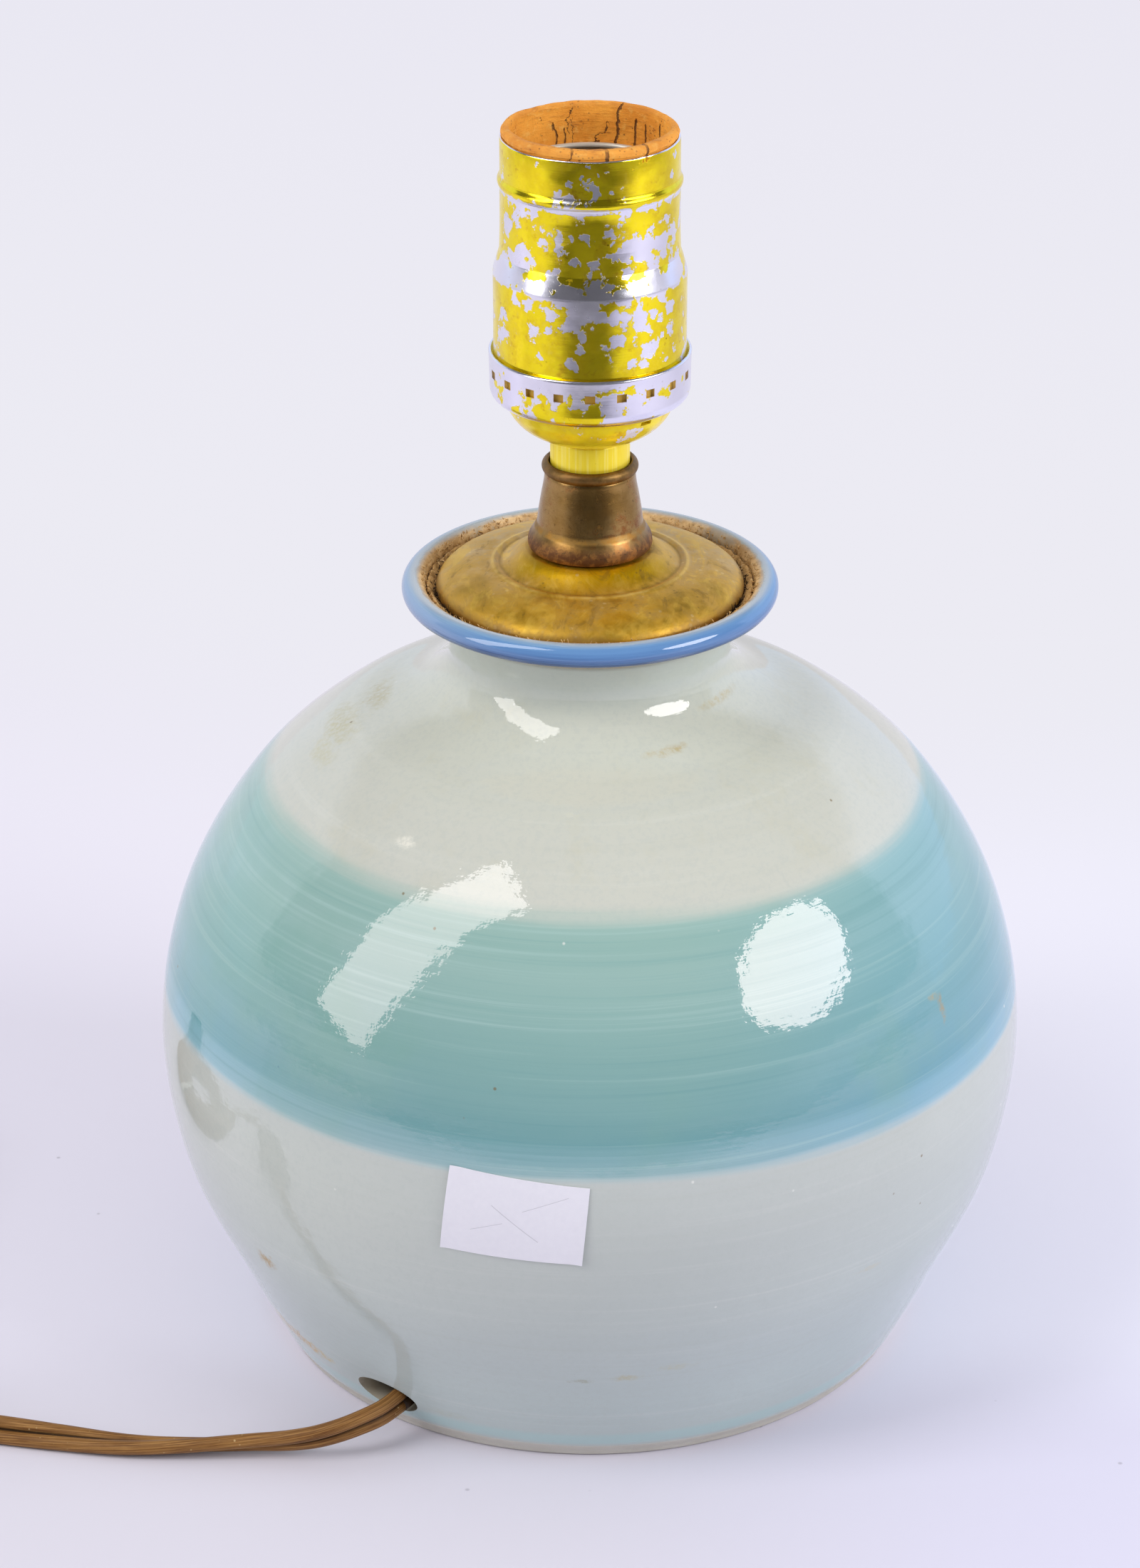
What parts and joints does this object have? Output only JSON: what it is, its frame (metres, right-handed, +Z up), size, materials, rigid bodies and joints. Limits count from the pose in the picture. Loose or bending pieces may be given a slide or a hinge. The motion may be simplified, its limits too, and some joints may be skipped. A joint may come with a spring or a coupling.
{
  "type": "studio pottery lamp",
  "caption": "Table lamp: a round wheel-thrown pot with a turquoise band, a keyless bulb socket on a brass neck, and a flat cord with a thumb-wheel switch and plug.",
  "frame": {"origin": "on the table, under the lamp's axis, at the middle of the foot ring", "axes": "+Z up along the lamp's axis; the pictured front faces -Y; the cord leaves the foot at the front left and runs to -X"},
  "size_m": [0.3287, 0.1679, 0.2277],
  "materials": {
    "glaze": "satin-gloss pale glaze with a turquoise band, clear over the shoulder",
    "aged_brass": "tarnished, dusty",
    "dark_bronze": "dark patina, worn bright at the edges",
    "gilt_aluminium": "gilt lacquer, worn to bare metal in patches",
    "zinc_steel": "zinc plated",
    "aluminium": "plain, dull",
    "dusty_gasket": "felt, dusty",
    "black_rubber": "matt",
    "fibre_liner": "fibre board, aged, orange-brown",
    "black_phenolic": "moulded",
    "brown_cord": "soft vinyl, semi-matt",
    "brown_plastic": "moulded, satin",
    "tie_plastic": "thin strap"
  },
  "bodies": {
    "lamp": {"pot_body": "glaze", "rim_gasket": "dusty_gasket", "vase_cap": "aged_brass", "brass_neck": "dark_bronze", "lamp_pipe": "zinc_steel", "base_rubber_washer": "black_rubber", "base_steel_washer": "zinc_steel", "base_hex_nut": "zinc_steel", "socket_collar": "gilt_aluminium", "collar_set_screw": "zinc_steel", "socket_cap": "gilt_aluminium", "socket_shell": "gilt_aluminium", "socket_liner": "fibre_liner", "socket_body": "black_phenolic", "terminal_screw_brass": "aged_brass", "terminal_screw_nickel": "aluminium", "screw_shell": "aluminium", "lead_wire_live": "brown_cord", "lead_wire_neutral": "brown_cord", "inner_cord": "brown_cord", "cord_run": "brown_cord", "switch_lower_half": "brown_plastic", "switch_upper_half": "brown_plastic", "switch_screw_near": "zinc_steel", "switch_screw_far": "zinc_steel", "cord_feed": "brown_cord", "cord_coil": "brown_cord", "coil_tie": "tie_plastic", "cord_tail": "brown_cord", "plug_body": "brown_plastic", "plug_blade_live": "aged_brass", "plug_blade_neutral": "aged_brass"},
    "thumb_wheel": {"switch_wheel": "brown_plastic"},
    "contact_tongue": {"centre_contact": "aged_brass"}
  },
  "joints": [
    {"name": "switch_wheel_turn", "type": "hinge", "parent": "lamp", "child": "thumb_wheel", "pos_m": [-0.15696, -0.05459, 0.00635], "axis": [0, 0, 1], "continuous": true},
    {"name": "contact_press", "type": "hinge", "parent": "lamp", "child": "contact_tongue", "pos_m": [-0.007, 0, 0.1992], "axis": [0, 1, 0], "range_deg": [0, 9], "stiffness_Nm_per_rad": 0.02}
  ]
}
